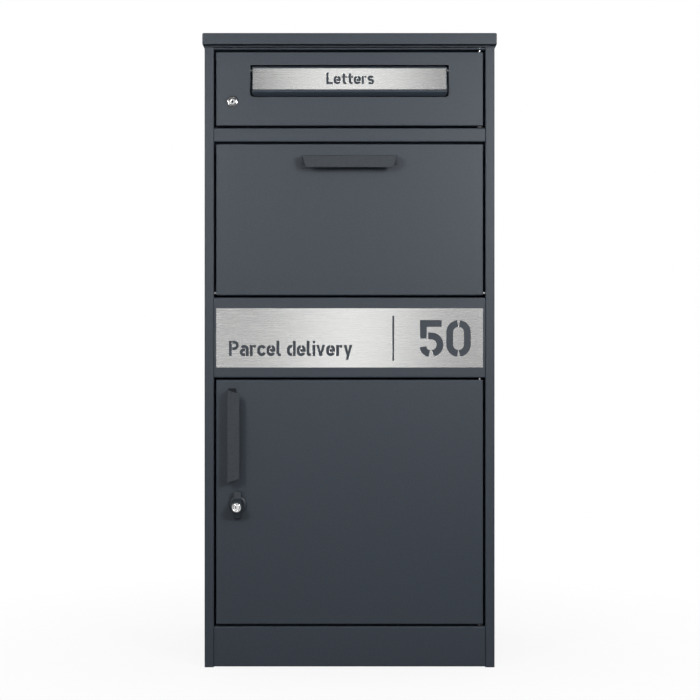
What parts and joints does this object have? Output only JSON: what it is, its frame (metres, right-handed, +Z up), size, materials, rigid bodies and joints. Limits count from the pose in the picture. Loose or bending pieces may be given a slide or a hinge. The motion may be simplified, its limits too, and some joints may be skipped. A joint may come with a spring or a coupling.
{
  "type": "parcel mailbox",
  "caption": "Free-standing sheet-steel letter and parcel box with a lockable letter door, a letter flap, a parcel drop flap with a hopper and a lockable parcel door.",
  "frame": {"origin": "on the floor, in the middle of the bounding box's footprint", "axes": "+Z up, the doors face -Y, +X is to the right of someone facing the doors"},
  "size_m": [0.4742, 0.4116, 1.0243],
  "materials": {
    "powder_coat": "fine-textured matt anthracite powder coat",
    "brushed_stainless": "stainless steel brushed along X",
    "chrome": "polished chrome plate",
    "zinc_plated_steel": "bright zinc plate",
    "black_casting": "zinc casting, black satin coat",
    "rubber": "matt black rubber",
    "nylon": "black nylon"
  },
  "bodies": {
    "cabinet": {"pillar_left": "powder_coat", "pillar_right": "powder_coat", "side_panel_left": "powder_coat", "side_panel_right": "powder_coat", "rear_flange_left": "powder_coat", "rear_flange_right": "powder_coat", "back_panel": "powder_coat", "base_pan": "powder_coat", "plinth_panel": "powder_coat", "roof_pan": "powder_coat", "lid": "powder_coat", "lid_bolt_front_left": "zinc_plated_steel", "lid_bolt_front_right": "zinc_plated_steel", "lid_bolt_rear_left": "zinc_plated_steel", "lid_bolt_rear_right": "zinc_plated_steel", "top_rail": "powder_coat", "divider_rail": "powder_coat", "letter_floor": "powder_coat", "name_panel": "powder_coat", "name_plate": "brushed_stainless", "letter_door_pin_upper": "zinc_plated_steel", "letter_door_pin_lower": "zinc_plated_steel", "letter_door_washer": "nylon", "parcel_door_pin_upper": "zinc_plated_steel", "parcel_door_pin_lower": "zinc_plated_steel", "parcel_door_washer": "nylon", "parcel_flap_pin_left": "zinc_plated_steel", "parcel_flap_pin_right": "zinc_plated_steel", "flap_buffer_left": "rubber", "flap_buffer_right": "rubber"},
    "letter_door": {"letter_door": "powder_coat", "flap_bracket_left": "zinc_plated_steel", "flap_bracket_right": "zinc_plated_steel", "letter_flap_pin_left": "zinc_plated_steel", "letter_flap_pin_right": "zinc_plated_steel", "letter_lock_barrel": "chrome", "letter_lock_nut": "zinc_plated_steel"},
    "letter_flap": {"letter_flap": "powder_coat", "letter_flap_plate": "brushed_stainless"},
    "letter_lock": {"letter_lock_plug": "chrome", "letter_lock_cam": "zinc_plated_steel", "letter_lock_screw": "zinc_plated_steel"},
    "parcel_flap": {"parcel_flap": "powder_coat", "flap_handle": "powder_coat", "flap_handle_screw_1": "zinc_plated_steel", "flap_handle_screw_2": "zinc_plated_steel", "hopper_tray": "powder_coat", "hopper_cheek_left": "powder_coat", "hopper_cheek_right": "powder_coat"},
    "parcel_door": {"parcel_door": "powder_coat", "door_stiffener": "powder_coat", "door_handle": "powder_coat", "door_handle_screw_1": "zinc_plated_steel", "door_handle_screw_2": "zinc_plated_steel", "door_lock_housing": "black_casting", "door_lock_nut": "zinc_plated_steel"},
    "wing_handle": {"wing_handle": "black_casting", "door_lock_cam": "zinc_plated_steel", "cam_bolt": "zinc_plated_steel"},
    "key_cylinder": {"key_cylinder": "chrome"}
  },
  "joints": [
    {"name": "letter_door_hinge", "type": "hinge", "parent": "cabinet", "child": "letter_door", "pos_m": [0.2111, -0.16975, 0.877], "axis": [0, 0, 1], "range_deg": [0, 100]},
    {"name": "letter_flap_hinge", "type": "hinge", "parent": "letter_door", "child": "letter_flap", "pos_m": [0, -0.16955, 0.9675], "axis": [-1, 0, 0], "range_deg": [0, 70]},
    {"name": "letter_lock_turn", "type": "hinge", "parent": "letter_door", "child": "letter_lock", "pos_m": [-0.1896, -0.17575, 0.9158], "axis": [0, -1, 0], "range_deg": [0, 90]},
    {"name": "parcel_flap_hinge", "type": "hinge", "parent": "cabinet", "child": "parcel_flap", "pos_m": [0, -0.17075, 0.6064], "axis": [1, 0, 0], "range_deg": [0, 48]},
    {"name": "parcel_door_hinge", "type": "hinge", "parent": "cabinet", "child": "parcel_door", "pos_m": [0.2111, -0.16975, 0.0695], "axis": [0, 0, 1], "range_deg": [0, 100]},
    {"name": "wing_handle_turn", "type": "hinge", "parent": "parcel_door", "child": "wing_handle", "pos_m": [-0.1811, -0.17575, 0.2637], "axis": [0, -1, 0], "range_deg": [0, 90]},
    {"name": "key_turn", "type": "hinge", "parent": "wing_handle", "child": "key_cylinder", "pos_m": [-0.1811, -0.17575, 0.2615], "axis": [0, -1, 0], "range_deg": [0, 90]}
  ]
}
